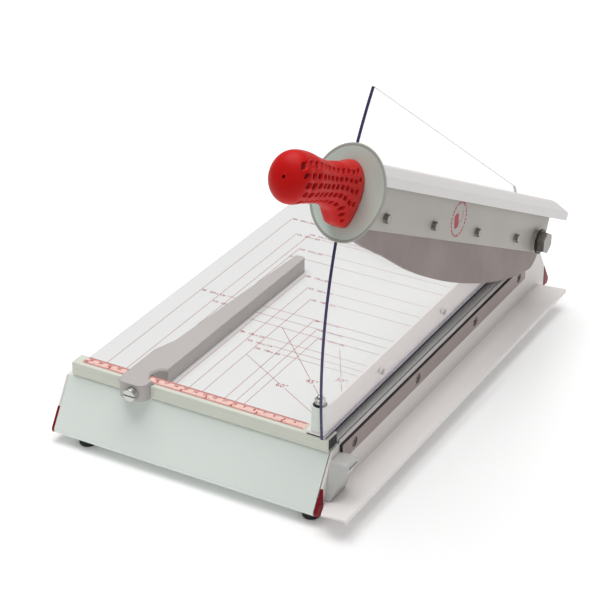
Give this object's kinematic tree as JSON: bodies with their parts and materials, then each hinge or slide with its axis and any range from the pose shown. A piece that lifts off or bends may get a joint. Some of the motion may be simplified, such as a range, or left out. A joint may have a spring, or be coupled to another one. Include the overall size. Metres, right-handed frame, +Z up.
{
  "type": "guillotine paper cutter",
  "caption": "Bench guillotine for sheets up to 360 mm: hinged knife arm with hand guard, clamp bar with clear guard, sliding back gauge on a ruler bar.",
  "frame": {"origin": "bottom centre of the machine's box, on the surface it stands on", "axes": "+Z up, +Y from the handle end to the pivot end, +X to the off-cut side"},
  "size_m": [0.317, 0.5611, 0.3708],
  "materials": {
    "table_paint": "semi-matt white enamel with fine red and grey size lines",
    "cover_paint": "fine satin powder coat, light grey",
    "side_paint": "fine satin powder coat, light grey",
    "wing_paint": "fine satin powder coat, light grey",
    "deck_steel": "plain primed sheet steel",
    "insert_plastic": "dark red moulded plastic",
    "ruler_metal": "satin anodised bar",
    "scale_print": "pale pink strip with fine red marks",
    "gauge_casting": "satin grey casting",
    "clamp_metal": "satin anodised",
    "blade_steel": "ground knife steel",
    "fastener_steel": "bright zinc plate",
    "black_steel": "black oxide",
    "holder_paint": "satin light grey",
    "cap_plastic": "light grey moulded cover",
    "disc_paint": "satin grey-green",
    "grip_plastic": "soft-touch red with sunk dimples",
    "guard_clear": "clear acrylic with dark edges",
    "foot_rubber": "black rubber",
    "rest_plastic": "grey moulded plastic",
    "pad_rubber": "dark grey rubber",
    "bush_bronze": "sintered bronze",
    "spring_steel": "spring wire"
  },
  "bodies": {
    "root": {"table_plate": "table_paint", "front_cover": "cover_paint", "rear_cover": "cover_paint", "side_panel_right": "side_paint", "side_panel_left": "side_paint", "corner_insert_front_right": "insert_plastic", "corner_insert_rear_right": "insert_plastic", "corner_insert_front_left": "insert_plastic", "corner_insert_rear_left": "insert_plastic", "deck_frame": "deck_steel", "cross_braces": "deck_steel", "blade_rail": "deck_steel", "side_wing": "wing_paint", "wing_screws": "fastener_steel", "lower_blade": "blade_steel", "lower_blade_screws": "blade_steel", "arm_rest_block": "rest_plastic", "rest_block_screws": "fastener_steel", "rubber_feet": "foot_rubber", "foot_screws": "fastener_steel", "foot_nuts": "fastener_steel", "ruler_bar": "ruler_metal", "ruler_scale_strip": "scale_print", "ruler_screws": "fastener_steel", "rear_guide_block": "clamp_metal", "clamp_guide_rods": "fastener_steel", "clamp_guide_nuts": "fastener_steel", "clamp_springs": "spring_steel", "pivot_bush": "bush_bronze"},
    "arm": {"friction_washer": "spring_steel", "pivot_bolt": "fastener_steel", "pivot_washer": "black_steel", "pivot_nut": "fastener_steel", "clamp_cam": "deck_steel", "upper_blade": "blade_steel", "blade_holder": "holder_paint", "blade_bolts": "fastener_steel", "arm_cap": "cap_plastic", "cap_screws": "fastener_steel", "arm_end_plate": "holder_paint", "handle_bar": "fastener_steel", "hand_guard_disc": "disc_paint", "handle_grip": "grip_plastic", "grip_end_screw": "black_steel"},
    "clamp": {"clamp_bar": "clamp_metal", "clamp_pad": "pad_rubber", "guard_sheet": "guard_clear", "guard_screws": "fastener_steel"},
    "gauge": {"back_gauge": "gauge_casting"},
    "lock_screw": {"gauge_lock_screw": "fastener_steel"}
  },
  "joints": [
    {"name": "arm_swing", "type": "hinge", "parent": "root", "child": "arm", "pos_m": [0.1249, 0.21452, 0.0875], "axis": [1, 0, 0], "range_deg": [-25, 27.9]},
    {"name": "clamp_lift", "type": "slide", "parent": "root", "child": "clamp", "axis": [0, 0, 1], "range_m": [-0.0019, 0.0017], "deforming": ["clamp_springs"]},
    {"name": "gauge_slide", "type": "slide", "parent": "root", "child": "gauge", "axis": [1, 0, 0], "range_m": [-0.05, 0.15]},
    {"name": "lock_screw_turn", "type": "hinge", "parent": "gauge", "child": "lock_screw", "pos_m": [-0.0786, -0.19548, 0.0663], "axis": [0, 1, 0], "range_deg": [0, 360]}
  ],
  "couplings": [
    {"joint": "clamp_lift", "follows": "arm_swing", "m_per_rad": -0.0036965}
  ]
}
